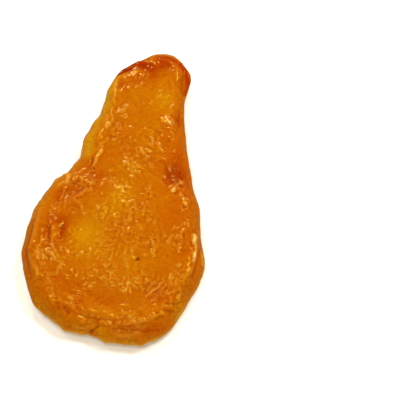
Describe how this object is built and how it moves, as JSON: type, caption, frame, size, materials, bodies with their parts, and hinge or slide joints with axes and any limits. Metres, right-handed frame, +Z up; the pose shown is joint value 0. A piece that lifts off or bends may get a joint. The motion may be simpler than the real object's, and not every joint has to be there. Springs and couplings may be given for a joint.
{
  "type": "dried pear half",
  "caption": "Half of a dried pear lying on its skin, with a broad belly, a tapering neck, a blunt stem end and a wrinkled, wavy rim.",
  "frame": {"origin": "middle of the half's box, at the level of the surface it rests on", "axes": "+Y runs from the bottom end to the stem end, +Z points up out of the cut face, and +X is across the belly"},
  "size_m": [0.0494, 0.088, 0.0109],
  "materials": {
    "dried_flesh": null
  },
  "bodies": {
    "root": {"dried_pear": "dried_flesh"}
  },
  "joints": []
}
